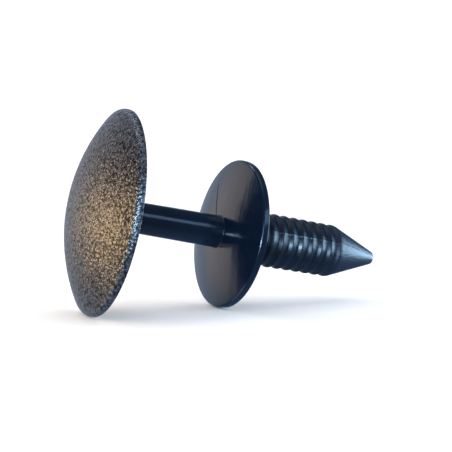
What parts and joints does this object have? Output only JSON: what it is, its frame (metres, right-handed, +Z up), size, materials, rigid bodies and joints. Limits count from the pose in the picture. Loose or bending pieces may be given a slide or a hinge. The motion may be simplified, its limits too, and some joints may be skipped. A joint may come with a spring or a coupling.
{
  "type": "plastic push rivet",
  "caption": "Black plastic push rivet with a wide domed trim head, a slim pin that carries a pad, a round flange and a ribbed stem that pushes into a panel hole.",
  "frame": {"origin": "centre of the bounding box in plan, on the surface that the rivet lies on", "axes": "+Z up; the pin line lies in the XZ plane and runs towards +X from the head to the tip, dropping 9.83 degrees, because the rivet lies on the rims of its head and flange"},
  "size_m": [0.052, 0.03, 0.0296],
  "materials": {
    "black_plastic": "moulded black plastic, spark-eroded grain on the dome of the head, smooth and glossy elsewhere"
  },
  "bodies": {
    "root": {"push_rivet": "black_plastic"}
  },
  "joints": []
}
